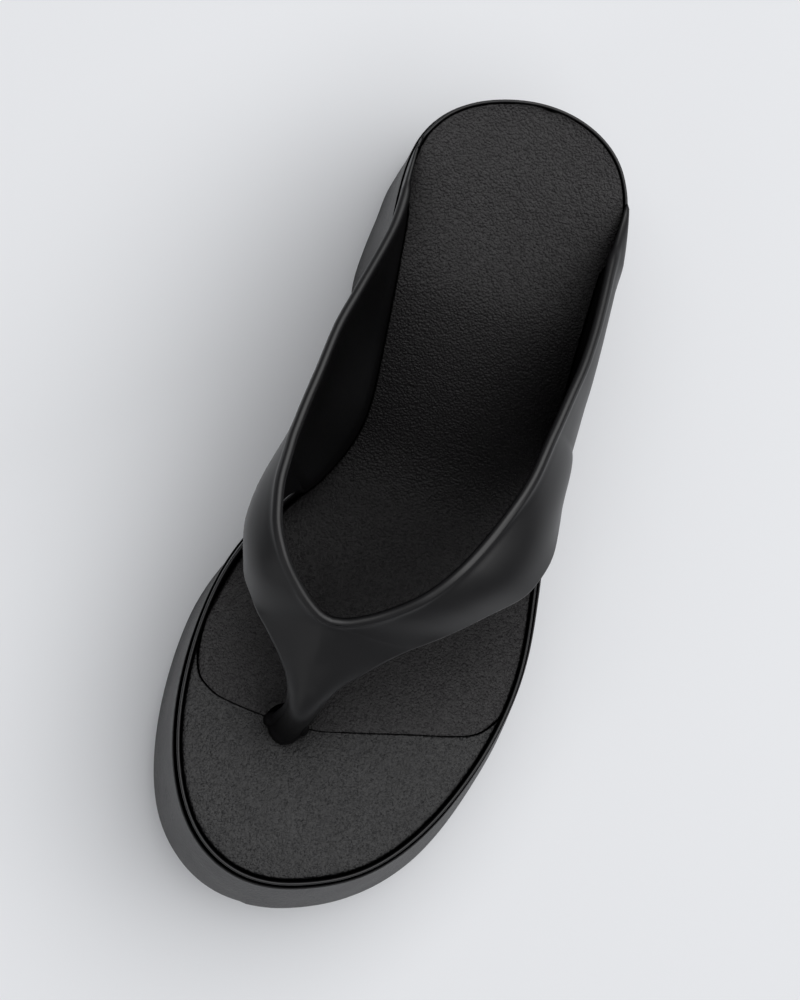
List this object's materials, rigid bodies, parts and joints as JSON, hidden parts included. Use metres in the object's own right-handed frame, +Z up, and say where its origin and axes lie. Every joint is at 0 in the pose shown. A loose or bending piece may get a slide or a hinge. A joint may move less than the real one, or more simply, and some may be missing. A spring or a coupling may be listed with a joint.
{
  "type": "toe post wedge sandal",
  "caption": "Left platform wedge sandal with a toe post, moulded in one colour of matte near-black plastic: thick flared sole, raised heel, thong straps and a moulded insole.",
  "frame": {"origin": "middle of the box's base, on the ground under the shoe", "axes": "+Y from the toe to the heel, along the shoe's length; +X to the lateral (little toe) side; +Z up"},
  "size_m": [0.1089, 0.2601, 0.1272],
  "materials": {
    "sole": "matte near-black, fine leather-like grain",
    "upper": "satin near-black, smooth, the toe bed grained",
    "insole": "matte near-black, fine leather-like grain"
  },
  "bodies": {
    "root": {"sole": "sole", "upper": "upper", "insole": "insole"}
  },
  "joints": []
}
